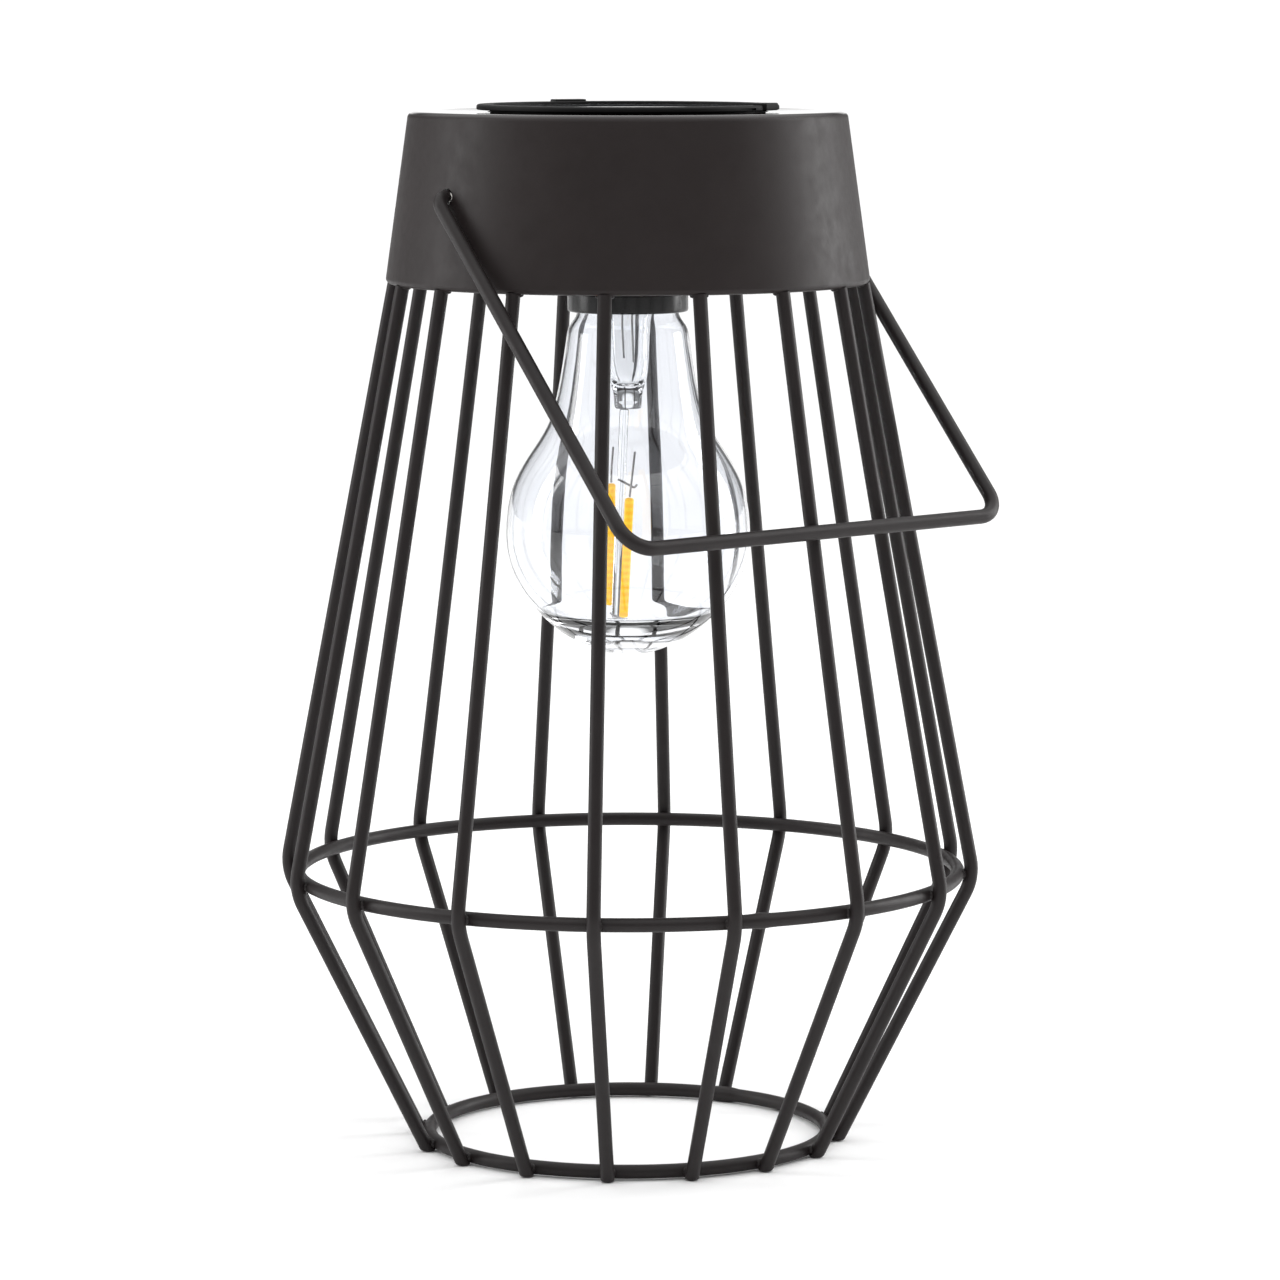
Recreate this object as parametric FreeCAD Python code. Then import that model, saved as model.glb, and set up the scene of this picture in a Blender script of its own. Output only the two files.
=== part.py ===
import FreeCAD, Part
from math import sin, cos, radians, sqrt, atan2, pi, tan
import os

# Solar lantern: a steel cap on a cage of bent wires, with a wire bail and a
# light unit (solar module, battery housing and filament bulb) that drops
# into the cap from above.  Millimetres.  Origin on the cage axis at floor
# level, Z up, front towards -Y.  Azimuths run from the front to the right.

# ---------------------------------------------------------------- cap
CAP_TOP_Z = 253.0        # outer face of the cap's flat top
CAP_BASE_Z = 211.3       # underside of the turned-in lip
CAP_TOP_R = 53.2         # outer radius at the top, before rounding
CAP_BASE_R = 59.0        # outer radius at the lip
CAP_WALL = 1.0           # sheet thickness
CAP_LIP_R = 53.2         # inner edge of the turned-in lip
CAP_TOP_ROUND = 2.2
CAP_LIP_ROUND = 1.5
CAP_HOLE_R = 34.0        # opening the light unit drops through

# ---------------------------------------------------------------- cage
WIRE_D = 3.4
WIRE_COUNT = 16
WIRE_FIRST_AZ = -5.3     # azimuth of wire 1
WIRE_DRIFT = {6: -0.5, 7: -1.0, 9: -1.0, 10: -1.0, 12: 1.0, 14: 2.0}    # degrees some are welded off
WIRE_TOP_R = 57.2        # centre-line radius where the wire meets the lip
BELLY_R = 85.0           # radius of the sharp corner of the wire's centre line
BELLY_Z = 66.4
FOOT_R = 52.6            # centre-line radius where the lower leg meets the base hoop
BELLY_BEND_R = 13.0
WELD = 0.15              # depth that welded parts run into each other
MID_HOOP_R = 81.05
MID_HOOP_Z = 67.0
BASE_HOOP_R = 49.15
BASE_HOOP_Z = 1.8

# ---------------------------------------------------------------- bail
BAIL_D = 3.5
BAIL_AZ = -50.0          # azimuth of the front pivot
BAIL_ARM_R = 59.0        # distance from the axis to each arm's centre line, at the pivot
BAIL_BAR_R = 58.6        # half the length of the hand bar, corner to corner
BAIL_SKEW = 0.9          # the bar sits this far off centre, towards the front pivot
BAIL_RACK = 0.6          # the front arm is this much longer than BAIL_DEPTH, the other shorter
BAIL_DEPTH = 105.6       # pivot axis to the hand bar
BAIL_LEAN = 42.8        # angle from hanging straight down, bar resting on the cage
BAIL_Z = 233.4
BAIL_STUB_R = 49.0       # inner end of each turned-in stub
BAIL_EAR_BEND = 3.4
BAIL_BAR_BEND = 7.0
BAIL_HOLE_R = 2.15

# ---------------------------------------------------------------- light unit
BEZEL_R = 36.7
BEZEL_BASE_Z = 253.3
BEZEL_TOP_Z = 254.6
BEZEL_ROUND = 0.6
RECESS_R = 32.7
LUG_W = 8.3
LUG_TOP_Z = 255.1
LUG_AZ = (69.0, 204.8)
CATCH_AZ = 52.0          # small slot in the bezel's edge, to lever it up
CELL_COUNT = 4
CUP_R = 33.3
CUP_WALL = 1.6
CUP_TOP_Z = 246.9
CUP_BASE_Z = 224.0
CUP_FLOOR = 2.0
POST_R = 28.0            # radius of the circle of the three housing screws
POST_AZ = (60.0, 180.0, 300.0)
BATTERY_D = 14.2
BATTERY_L = 50.0
BATTERY_Y = 8.0
BATTERY_Z = 236.5
COLLAR_R = 14.7
COLLAR_BASE_Z = 204.4
SWITCH_Y = -20.0
SLIDER_TRAVEL = 3.0

# ---------------------------------------------------------------- bulb
GLASS_WALL = 0.8
FLOOR_DISH = ((0.0, 126.6), (10.0, 127.6), (21.0, 130.9), (26.0, 132.6))    # inner face of the thick bottom
BULB_PROFILE = (
    (0.0, 120.3), (8.0, 121.6), (15.0, 124.9), (20.4, 129.2), (25.0, 134.6),
    (28.0, 140.4), (29.6, 145.6), (30.0, 150.1), (29.2, 158.2), (27.0, 165.2),
    (22.4, 171.9), (18.8, 177.6), (17.0, 185.0), (15.7, 193.0), (14.8, 199.0),
    (13.8, 201.9), (12.2, 204.3), (12.2, 214.0))
FILAMENT_D = 2.2
FILAMENT_ENDS = (
    ((0.4, -2.4, 159.0), (-1.1, -2.8, 129.6)),
    ((-4.1, 1.7, 162.2), (-4.6, 1.7, 132.4)))

V = FreeCAD.Vector
UP = V(0, 0, 1)


def at_azimuth(radius, azimuth, z=0.0):
    """Point at a radius and azimuth (0 at the front, growing to the right)."""
    a = radians(azimuth)
    return V(radius * sin(a), -radius * cos(a), z)


def turned(shape, azimuth):
    """A copy of a shape made at the front, turned to an azimuth."""
    copy = shape.copy()
    copy.rotate(V(0, 0, 0), UP, azimuth)
    return copy


def tube(outer_r, inner_r, z_low, z_high):
    """An upright tube on the lantern's axis."""
    solid = Part.makeCylinder(outer_r, z_high - z_low, V(0, 0, z_low))
    if inner_r > 0:
        solid = solid.cut(Part.makeCylinder(inner_r, z_high - z_low + 2, V(0, 0, z_low - 1)))
    return solid


def revolved(points):
    """Turn a closed outline of (radius, z) points about the axis."""
    outline = [V(r, 0, z) for r, z in points]
    outline.append(outline[0])
    face = Part.Face(Part.makePolygon(outline))
    return face.revolve(V(0, 0, 0), UP, 360)


def rounded_path(points, radii):
    """A wire path through corner points, each inner corner rounded by an arc."""
    edges = []
    start = points[0]
    for i in range(1, len(points) - 1):
        corner = points[i]
        back = (points[i - 1] - corner).normalize()
        ahead = (points[i + 1] - corner).normalize()
        half = back.getAngle(ahead) / 2.0
        reach = radii[i - 1] / tan(half)
        first = corner + back * reach
        last = corner + ahead * reach
        middle_dir = (back + ahead).normalize()
        centre = corner + middle_dir * (radii[i - 1] / sin(half))
        middle = centre - middle_dir * radii[i - 1]
        edges.append(Part.makeLine(start, first))
        edges.append(Part.Arc(first, middle, last).toShape())
        start = last
    edges.append(Part.makeLine(start, points[-1]))
    return Part.Wire(edges)


def swept_rod(points, radii, diameter):
    """A round rod bent along a rounded path."""
    path = rounded_path(points, radii)
    direction = points[1] - points[0]
    ring = Part.Wire([Part.makeCircle(diameter / 2.0, points[0], direction)])
    return path.makePipeShell([ring], True, False)


def rod_between(p, q, radius):
    """A straight round rod between two points."""
    return Part.makeCylinder(radius, (q - p).Length, p, q - p)


def round_rim(solid, z, r, fillet):
    """Round the circular edges that lie at a height and radius."""
    picked = []
    for edge in solid.Edges:
        box = edge.BoundBox
        level = abs(box.ZMin - z) < 0.01 and abs(box.ZMax - z) < 0.01
        wide = abs(max(box.XMax, -box.XMin, box.YMax, -box.YMin) - r) < 0.02
        if level and wide:
            picked.append(edge)
    return solid.makeFillet(fillet, picked)


# ---------------------------------------------------------------- frame
def cap_shell():
    """Sheet cap: flat top with a round opening, sloping side, turned-in lip."""
    t = CAP_WALL
    body = revolved((
        (CAP_HOLE_R, CAP_TOP_Z), (CAP_TOP_R, CAP_TOP_Z), (CAP_BASE_R, CAP_BASE_Z),
        (CAP_LIP_R, CAP_BASE_Z), (CAP_LIP_R, CAP_BASE_Z + t), (CAP_BASE_R - 1.16 * t, CAP_BASE_Z + t),
        (CAP_TOP_R - 0.88 * t, CAP_TOP_Z - t), (CAP_HOLE_R, CAP_TOP_Z - t)))
    body = round_rim(body, CAP_TOP_Z, CAP_TOP_R, CAP_TOP_ROUND)
    body = round_rim(body, CAP_BASE_Z, CAP_BASE_R, CAP_LIP_ROUND)
    body = round_rim(body, CAP_TOP_Z - t, CAP_TOP_R - 0.88 * t, CAP_TOP_ROUND - t)
    side = at_azimuth(1.0, BAIL_AZ)
    start = side * (-70.0) + UP * BAIL_Z
    return body.cut(Part.makeCylinder(BAIL_HOLE_R, 140.0, start, side))


def cage_wire():
    """One cage wire, made at the front: straight lower leg, belly bend, upper leg."""
    lower_slope = (BELLY_R - FOOT_R) / (BELLY_Z - BASE_HOOP_Z)
    upper_slope = (BELLY_R - WIRE_TOP_R) / (CAP_BASE_Z - BELLY_Z)
    over = 6.0
    points = [
        V(0, -(FOOT_R - lower_slope * (BASE_HOOP_Z + over)), -over),
        V(0, -BELLY_R, BELLY_Z),
        V(0, -(WIRE_TOP_R - upper_slope * over), CAP_BASE_Z + over)]
    rod = swept_rod(points, (BELLY_BEND_R,), WIRE_D)
    keep = Part.makeBox(20, 60, CAP_BASE_Z + WELD, V(-10, -100, 0))
    return rod.common(keep)


def hoop(radius, z):
    """A closed ring of round wire."""
    return Part.makeTorus(radius, WIRE_D / 2.0, V(0, 0, z))


# ---------------------------------------------------------------- bail
def bail_handle():
    """Rectangular wire bail with its two ends turned into the cap."""
    side = at_azimuth(1.0, BAIL_AZ)
    out = UP.cross(side)
    if out.y > 0:
        out = out * -1.0
    lean = radians(BAIL_LEAN)
    drop = out * sin(lean) - UP * cos(lean)
    pivot = UP * BAIL_Z
    points = [
        pivot + side * BAIL_STUB_R,
        pivot + side * BAIL_ARM_R,
        pivot + side * (BAIL_SKEW + BAIL_BAR_R) + drop * (BAIL_DEPTH + BAIL_RACK),
        pivot + side * (BAIL_SKEW - BAIL_BAR_R) + drop * (BAIL_DEPTH - BAIL_RACK),
        pivot - side * BAIL_ARM_R,
        pivot - side * BAIL_STUB_R]
    radii = (BAIL_EAR_BEND, BAIL_BAR_BEND, BAIL_BAR_BEND, BAIL_EAR_BEND)
    return swept_rod(points, radii, BAIL_D)


# ---------------------------------------------------------------- module
def solar_bezel():
    """Round bezel over the cap opening, with finger lugs and screw bosses."""
    ring = revolved((
        (0, 251.3), (31.6, 251.3), (31.6, 247.0), (33.4, 247.0),
        (33.4, BEZEL_BASE_Z), (BEZEL_R, BEZEL_BASE_Z), (BEZEL_R, BEZEL_TOP_Z),
        (RECESS_R, BEZEL_TOP_Z), (RECESS_R, 252.6), (0, 252.6)))
    ring = round_rim(ring, BEZEL_TOP_Z, BEZEL_R, BEZEL_ROUND)
    for azimuth in LUG_AZ:
        lug = Part.makeBox(LUG_W, 3.6, LUG_TOP_Z - BEZEL_BASE_Z, V(-LUG_W / 2.0, -37.2, BEZEL_BASE_Z))
        ring = ring.fuse(turned(lug, azimuth))
    catch = Part.makeBox(6.0, 1.4, 0.5, V(-3.0, -37.4, BEZEL_BASE_Z + 0.25))
    ring = ring.cut(turned(catch, CATCH_AZ))
    for azimuth in POST_AZ:
        boss = Part.makeCylinder(2.6, 13.2, at_azimuth(POST_R, azimuth, 238.2))
        ring = ring.fuse(boss)
        ring = ring.cut(Part.makeCylinder(0.85, 11.0, at_azimuth(POST_R, azimuth, 238.0)))
    return ring.cut(Part.makeCylinder(2.5, 6.0, V(0, -4, 250)))


def solar_board():
    """Round board that carries the solar cells."""
    return tube(32.5, 0, 252.65, 253.25)


def solar_cell(index):
    """One strip of cell, trimmed to the round board."""
    pitch = 58.0 / CELL_COUNT
    x_low = -29.0 + index * pitch + 0.4
    strip = Part.makeBox(pitch - 0.8, 70.0, 0.25, V(x_low, -35.0, 253.3))
    return strip.common(tube(30.0, 0, 253.0, 255.0))


def solar_cover():
    """Clear cast layer over the cells."""
    return tube(32.5, 0, 253.6, 254.0)


def housing_cup():
    """Cup under the bezel that holds the battery and the circuit board."""
    floor_z = CUP_BASE_Z + CUP_FLOOR
    cup = tube(CUP_R, CUP_R - CUP_WALL, floor_z - 0.5, CUP_TOP_Z)
    floor = tube(CUP_R, 10.0, CUP_BASE_Z, floor_z)
    cup = round_rim(floor.fuse(cup).removeSplitter(), CUP_BASE_Z, CUP_R, 1.0)
    for azimuth in POST_AZ:
        post = Part.makeCylinder(2.8, 12.0, at_azimuth(POST_R, azimuth, floor_z - 0.2))
        cup = cup.fuse(post)
        cup = cup.cut(Part.makeCylinder(2.05, 11.0, at_azimuth(POST_R, azimuth, CUP_BASE_Z - 1)))
        cup = cup.cut(Part.makeCylinder(1.2, 20.0, at_azimuth(POST_R, azimuth, CUP_BASE_Z)))
    for side in (-1, 1):
        cradle = Part.makeBox(2.0, 12.0, 6.0, V(side * 14.0 - 1.0, BATTERY_Y - 6.0, floor_z - 0.2))
        cradle = cradle.cut(Part.makeCylinder(BATTERY_D / 2.0 + 0.05, 60, V(-30, BATTERY_Y, BATTERY_Z), V(1, 0, 0)))
        cup = cup.fuse(cradle)
    slot = Part.makeBox(4.0 + SLIDER_TRAVEL, 3.6, 6.0, V(-2.4, SWITCH_Y - 1.8, CUP_BASE_Z - 2))
    return cup.cut(slot)


def housing_screw():
    """Pan-head screw that holds the cup to the bezel, made at the front."""
    x, y = 0.0, -POST_R
    head = Part.makeCylinder(1.9, 1.5, V(x, y, 232.5))
    shank = Part.makeCylinder(0.95, 14.0, V(x, y, 233.9))
    recess = Part.makeBox(2.4, 0.5, 0.7, V(-1.2, y - 0.25, 232.4))
    return head.fuse(shank).cut(recess)


def battery_cell():
    """Rechargeable cell with its raised positive cap."""
    body = Part.makeCylinder(BATTERY_D / 2.0, BATTERY_L - 1.2, V(-25, BATTERY_Y, BATTERY_Z), V(1, 0, 0))
    rims = [e for e in body.Edges if e.BoundBox.XLength < 0.01]
    body = body.makeFillet(0.7, rims)
    cap = Part.makeCylinder(2.75, 1.4, V(23.6, BATTERY_Y, BATTERY_Z), V(1, 0, 0))
    return body.fuse(cap)


def battery_contact():
    """Flat spring-steel contact at the positive end."""
    return Part.makeBox(0.4, 9.0, 11.0, V(25.1, BATTERY_Y - 4.5, BATTERY_Z - 5.5))


def battery_spring():
    """Conical contact spring at the negative end, as three flat turns."""
    plate = Part.makeBox(0.4, 9.0, 11.0, V(-28.0, BATTERY_Y - 4.5, BATTERY_Z - 5.5))
    turns = plate
    for k in range(3):
        ring = Part.makeTorus(3.6 - 0.8 * k, 0.4, V(-27.3 + 0.75 * k, BATTERY_Y, BATTERY_Z), V(1, 0, 0))
        turns = turns.fuse(ring)
    link = rod_between(V(-27.8, BATTERY_Y, BATTERY_Z + 3.6), V(-25.8, BATTERY_Y, BATTERY_Z + 2.0), 0.35)
    return turns.fuse(link)


def circuit_board():
    """Charge and dusk-switching board above the battery."""
    board = Part.makeBox(44.0, 22.0, 1.2, V(-22.0, -8.5, 246.2))
    return board.cut(Part.makeCylinder(1.2, 4, V(-19, -6, 245)))


def circuit_chip():
    """Charge controller on the board."""
    return Part.makeBox(5.0, 4.4, 1.6, V(-6.0, -3.0, 247.45))


def circuit_coil():
    """Step-up inductor on the board."""
    return Part.makeCylinder(3.2, 3.4, V(8.0, 2.0, 247.45))


def board_post():
    """Spacer that holds the circuit board under the bezel."""
    return Part.makeCylinder(1.6, 3.8, V(16.0, -4.0, 247.45))


def switch_body():
    """Slide switch fixed inside the cup floor."""
    box = Part.makeBox(13.0, 6.4, 4.6, V(-6.0, SWITCH_Y - 3.2, 226.05))
    slot = Part.makeBox(4.4 + SLIDER_TRAVEL, 3.8, 3.2, V(-2.6, SWITCH_Y - 1.9, 226.0))
    return box.cut(slot)


def switch_slider():
    """Sliding knob that stands below the cup floor."""
    stem = Part.makeBox(3.2, 2.8, 6.6, V(-2.0, SWITCH_Y - 1.4, 221.8))
    edges = [e for e in stem.Edges if e.BoundBox.ZMax < 221.9]
    return stem.makeFillet(0.5, edges)


# ---------------------------------------------------------------- lamp
def lamp_collar():
    """Black collar that holds the bulb, hung from the cup floor."""
    outer = tube(COLLAR_R, 12.5, COLLAR_BASE_Z, 219.0)
    top = tube(COLLAR_R, 2.5, 218.5, CUP_BASE_Z - 0.05)
    neck = tube(9.8, 2.5, 223.0, CUP_BASE_Z + CUP_FLOOR + 1.5)
    collar = outer.fuse(top).fuse(neck).removeSplitter()
    return round_rim(collar, COLLAR_BASE_Z, COLLAR_R, 0.6)


def bulb_outline(inset):
    """Bulb side line as (radius, z) points, moved inwards by an inset."""
    points = []
    count = len(BULB_PROFILE)
    for i in range(count):
        r, z = BULB_PROFILE[i]
        before = BULB_PROFILE[max(i - 1, 0)]
        after = BULB_PROFILE[min(i + 1, count - 1)]
        dr = after[0] - before[0]
        dz = after[1] - before[1]
        size = sqrt(dr * dr + dz * dz)
        if i == 0:
            points.append((0.0, z + inset))
        elif i == count - 1:
            points.append((r - inset, z))
        else:
            points.append((r - inset * dz / size, z + inset * dr / size))
    return points


def bulb_solid(inset):
    """Solid of revolution inside the bulb's side line."""
    curve = Part.BSplineCurve()
    points = [V(r, 0, z) for r, z in bulb_outline(inset)]
    curve.interpolate(points, InitialTangent=V(1, 0, 0), FinalTangent=V(0, 0, 1))
    top = points[-1]
    edges = [curve.toShape(), Part.makeLine(top, V(0, 0, top.z)), Part.makeLine(V(0, 0, top.z), points[0])]
    return Part.Face(Part.Wire(edges)).revolve(V(0, 0, 0), UP, 360)


def bulb_glass():
    """Clear pear-shaped glass envelope with a thick, lens-like bottom."""
    bottom = revolved(((0, 115), (26, 115)) + FLOOR_DISH[::-1])
    inside = bulb_solid(GLASS_WALL).cut(bottom)
    return bulb_solid(0.0).cut(inside)


def glass_stem():
    """Flare tube and pinch that close the bulb and hold the filaments."""
    return revolved((
        (0, 180.5), (3.0, 180.5), (3.4, 181.0), (3.4, 185.3), (5.2, 188.0), (5.2, 203.0),
        (7.0, 207.0), (11.2, 211.4), (11.2, 212.6), (10.2, 212.6), (6.0, 208.0), (4.4, 203.5),
        (4.4, 188.6), (2.6, 186.3), (0, 186.3)))


def glass_rod():
    """Clear rod that stands the filaments off the stem."""
    return rod_between(V(-0.9, 0.0, 180.45), V(-3.0, 0.0, 129.0), 1.1)


def rod_foot():
    """Small button at the end of the glass rod."""
    return Part.makeCylinder(2.6, 0.8, V(-2.6, -0.3, 128.15))


def led_filament(index):
    """One coated filament strip between its two ends."""
    top, bottom = FILAMENT_ENDS[index]
    rod = rod_between(V(*top), V(*bottom), FILAMENT_D / 2.0)
    rims = [e for e in rod.Edges if e.Curve.TypeId == "Part::GeomCircle"]
    return rod.makeFillet(0.6, rims)


def lead_wire(index):
    """Lead wire from the pinch to the top of a filament."""
    top = FILAMENT_ENDS[index][0]
    start = V(1.9, -0.6, 180.4) if index == 0 else V(-2.7, 0.6, 180.4)
    return rod_between(start, V(top[0], top[1], top[2] + 0.1), 0.35)


# ---------------------------------------------------------------- export
def save(name, shape):
    """Check one sub-part and write it."""
    if not shape.isValid() or len(shape.Solids) != 1:
        raise RuntimeError("%s: valid %s, solids %d" % (name, shape.isValid(), len(shape.Solids)))
    shape.Solids[0].exportStep("parts/%s.step" % name)
    box = shape.optimalBoundingBox()
    print("%-18s %8.1f mm3  z %.2f..%.2f" % (name, shape.Volume, box.ZMin, box.ZMax))


os.makedirs("parts", exist_ok=True)
save("cap_shell", cap_shell())
front_wire = cage_wire()
for i in range(WIRE_COUNT):
    wire_azimuth = WIRE_FIRST_AZ + i * 360.0 / WIRE_COUNT + WIRE_DRIFT.get(i + 1, 0.0)
    save("cage_wire_%02d" % (i + 1), turned(front_wire, wire_azimuth))
save("mid_hoop", hoop(MID_HOOP_R, MID_HOOP_Z))
save("base_hoop", hoop(BASE_HOOP_R, BASE_HOOP_Z))
save("bail_handle", bail_handle())
save("solar_bezel", solar_bezel())
save("solar_board", solar_board())
for i in range(CELL_COUNT):
    save("solar_cell_%d" % (i + 1), solar_cell(i))
save("solar_cover", solar_cover())
save("housing_cup", housing_cup())
front_screw = housing_screw()
for i, screw_azimuth in enumerate(POST_AZ):
    save("housing_screw_%d" % (i + 1), turned(front_screw, screw_azimuth))
save("battery_cell", battery_cell())
save("battery_contact", battery_contact())
save("battery_spring", battery_spring())
save("circuit_board", circuit_board())
save("circuit_chip", circuit_chip())
save("circuit_coil", circuit_coil())
save("board_post", board_post())
save("switch_body", switch_body())
save("switch_slider", switch_slider())
save("lamp_collar", lamp_collar())
save("bulb_glass", bulb_glass())
save("glass_stem", glass_stem())
save("glass_rod", glass_rod())
save("rod_foot", rod_foot())
for i in range(2):
    save("led_filament_%d" % (i + 1), led_filament(i))
    save("lead_wire_%d" % (i + 1), lead_wire(i))
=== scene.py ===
# %% [markdown]
# # A solar lantern, made as a lesson
# The lantern is a steel cap on a cage of bent wires, with a wire bail and a light unit that drops in from
# above. The engineering model gives every part's place and movement. This script adds the looks: smoother
# wires, weld beads, clear blown glass, powder coat and moulded plastic. Everything is in metres in the
# model's own frame.

from math import asin, cos, pi, radians, sin, sqrt, tan

import bpy
from mathutils import Matrix, Vector


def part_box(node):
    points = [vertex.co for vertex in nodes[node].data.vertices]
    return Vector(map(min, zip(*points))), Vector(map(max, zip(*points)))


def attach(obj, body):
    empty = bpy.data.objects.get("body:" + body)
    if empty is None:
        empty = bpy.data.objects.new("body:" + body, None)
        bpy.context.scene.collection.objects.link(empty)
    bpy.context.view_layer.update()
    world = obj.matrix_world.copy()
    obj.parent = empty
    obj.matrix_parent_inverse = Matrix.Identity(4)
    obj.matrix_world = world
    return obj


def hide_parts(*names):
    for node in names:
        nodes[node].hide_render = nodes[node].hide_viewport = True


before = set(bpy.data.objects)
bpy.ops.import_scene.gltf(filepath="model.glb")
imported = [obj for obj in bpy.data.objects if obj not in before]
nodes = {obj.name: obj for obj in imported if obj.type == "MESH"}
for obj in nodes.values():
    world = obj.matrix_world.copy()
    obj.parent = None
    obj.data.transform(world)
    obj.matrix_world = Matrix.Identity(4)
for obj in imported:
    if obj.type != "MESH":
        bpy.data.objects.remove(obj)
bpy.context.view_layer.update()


# %% [markdown]
# ## Measures
# The sizes below are those of the real lantern in millimetres, and MM turns them into metres. Heights come
# from the loaded parts themselves where a box can give them, so the looks stay on the frame.

# %% Measures used by several pieces
MM = 0.001
CAP_LOW, CAP_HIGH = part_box("cap_shell")
CAP_BASE_Z, CAP_TOP_Z = CAP_LOW[2], CAP_HIGH[2]
CAP_BASE_R = 59.0 * MM
CAP_TOP_R = 53.2 * MM
CAP_HOLE_R = 34.0 * MM
CAP_LIP_R = 53.2 * MM
WIRE_D = 3.4 * MM
WIRE_NAMES = sorted(name for name in nodes if name.startswith("cage_wire_"))
WIRE_DRIFT = {6: -0.5, 7: -1.0, 9: -1.0, 10: -1.0, 12: 1.0, 14: 2.0}
WIRE_FIRST_AZ = -5.3
WIRE_STEP = 360 / len(WIRE_NAMES)
WIRE_AZ = [WIRE_FIRST_AZ + n * WIRE_STEP + WIRE_DRIFT.get(n + 1, 0.0) for n in range(len(WIRE_NAMES))]
WIRE_TOP_R = 57.2 * MM
BELLY_R, BELLY_Z = 85.0 * MM, 66.4 * MM
FOOT_R = 52.6 * MM
MID_HOOP_R, MID_HOOP_Z = 81.05 * MM, 67.0 * MM
BASE_HOOP_R, BASE_HOOP_Z = 49.15 * MM, 1.8 * MM
BAIL_D = 3.5 * MM
BAIL_AZ, BAIL_LEAN = -50.0, 42.8
BAIL_ARM_R, BAIL_BAR_R = 59.0 * MM, 58.6 * MM
BAIL_SKEW, BAIL_RACK = 0.9 * MM, 0.6 * MM
BAIL_DEPTH, BAIL_Z = 105.6 * MM, 233.4 * MM
BAIL_STUB_R, BAIL_HOLE_R = 49.0 * MM, 2.15 * MM
BAIL_EAR_BEND, BAIL_BAR_BEND = 3.4 * MM, 7.0 * MM
print("cap from", round(CAP_BASE_Z, 4), "to", round(CAP_TOP_Z, 4), "wires:", len(WIRE_NAMES))


def at_azimuth(radius, azimuth, z=0.0):
    """Point at a radius and azimuth: 0 at the front, growing towards the right."""
    a = radians(azimuth)
    return Vector((radius * sin(a), -radius * cos(a), z))


def in_mm(*points):
    """Points of an outline given in millimetres, as metres."""
    return [tuple(value * MM for value in point) for point in points]


# %% [markdown]
# ## Hand moves
# Operators act on whatever is selected, so each step starts by deselecting everything, and picks its faces
# or edges by their place. These few helpers are the moves that a modeller repeats all day: start from one
# point, push a line along, turn it on a lathe, bend a rod, and finish a piece so that its object sits at
# the origin.

# %% Selection and finishing helpers
def deselect():
    """Back to object mode with nothing selected."""
    if bpy.context.mode != "OBJECT":
        bpy.ops.object.mode_set(mode="OBJECT")
    bpy.ops.object.select_all(action="DESELECT")


def only(piece):
    """Select one piece and make it active."""
    deselect()
    piece.select_set(True)
    bpy.context.view_layer.objects.active = piece


def edit(piece):
    """Edit one piece, with nothing picked."""
    only(piece)
    bpy.ops.object.mode_set(mode="EDIT")
    bpy.ops.mesh.select_all(action="DESELECT")


def pick(piece, kind, test):
    """In edit mode, pick the vertices, edges or faces whose middle passes a test."""
    bpy.ops.mesh.select_mode(type={"verts": "VERT", "edges": "EDGE", "faces": "FACE"}[kind])
    bpy.ops.mesh.select_all(action="DESELECT")
    bpy.ops.object.mode_set(mode="OBJECT")
    mesh = piece.data
    count = 0
    for item in {"verts": mesh.vertices, "edges": mesh.edges, "faces": mesh.polygons}[kind]:
        if kind == "verts":
            middle = item.co
        elif kind == "edges":
            middle = (mesh.vertices[item.vertices[0]].co + mesh.vertices[item.vertices[1]].co) / 2
        else:
            middle = item.center
        if test(middle):
            item.select = True
            count += 1
    bpy.ops.object.mode_set(mode="EDIT")
    return count


def apply_modifier(piece, kind, **settings):
    """Add a modifier, set it, and apply it."""
    only(piece)
    modifier = piece.modifiers.new(kind.title(), kind)
    for key, value in settings.items():
        setattr(modifier, key, value)
    bpy.ops.object.modifier_apply(modifier=modifier.name)


def finish_piece(piece, smooth=40.0):
    """Apply the place, turn and size, and smooth all but the sharp edges."""
    only(piece)
    bpy.ops.object.transform_apply(location=True, rotation=True, scale=True)
    bpy.ops.object.shade_smooth_by_angle(angle=radians(smooth))
    return piece


def join(pieces, name):
    """Join several pieces into one."""
    deselect()
    for piece in pieces:
        piece.select_set(True)
    bpy.context.view_layer.objects.active = pieces[0]
    if len(pieces) > 1:
        bpy.ops.object.join()
    pieces[0].name = name
    pieces[0].data.name = name
    return pieces[0]


def copy_turned(piece, name, azimuth):
    """A copy with its own mesh, turned about the lantern's axis."""
    only(piece)
    bpy.ops.object.duplicate(linked=False)
    copy = bpy.context.object
    copy.name = name
    copy.data.name = name
    copy.rotation_euler = (0, 0, radians(azimuth))
    bpy.ops.object.transform_apply(location=False, rotation=True, scale=False)
    return copy


# %% [markdown]
# ## The lathe
# Caps, bezels, collars and bulbs are all round about one axis, so their side lines are drawn once in the XZ
# plane and spun a full turn. The line starts as one point, and each next point is an extrusion of the last
# one. Corners that the real part has rounded are bevelled while the line is still flat, which is far easier
# than after the spin.

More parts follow.
